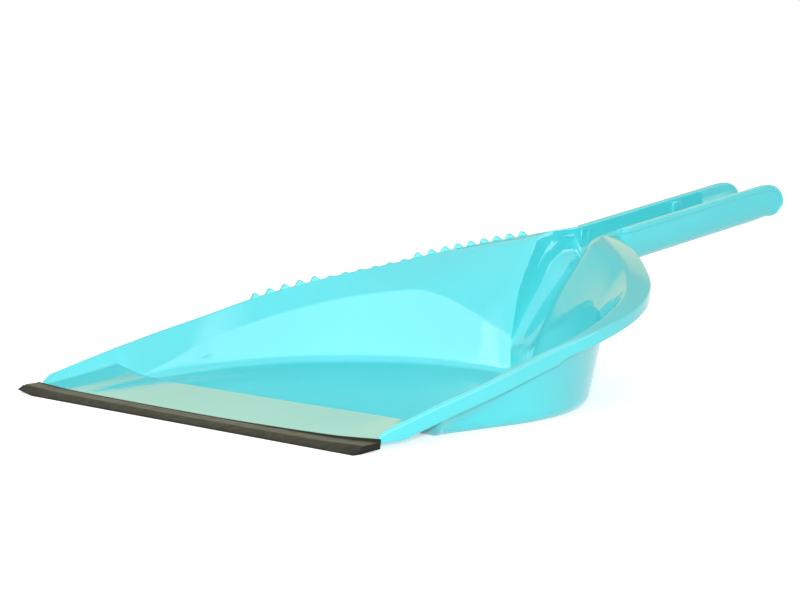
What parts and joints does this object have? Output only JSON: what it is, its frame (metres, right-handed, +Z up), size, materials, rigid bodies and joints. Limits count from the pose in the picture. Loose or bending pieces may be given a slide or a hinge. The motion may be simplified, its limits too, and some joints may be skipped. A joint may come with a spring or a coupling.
{
  "type": "dustpan",
  "caption": "Moulded plastic dustpan with a flared rim, a toothed comb on one rim, an open channel handle that holds a brush, and a rubber lip.",
  "frame": {"origin": "on the floor under the middle of the bounding box", "axes": "+Z up, +Y from the rubber lip towards the tip of the handle, +X across the scoop"},
  "size_m": [0.224, 0.35, 0.0818],
  "materials": {
    "pan_body": "glossy moulded plastic, cyan",
    "rubber_lip": "extruded rubber, dark grey-brown"
  },
  "bodies": {
    "root": {"pan_body": "pan_body", "rubber_lip": "rubber_lip"}
  },
  "joints": []
}
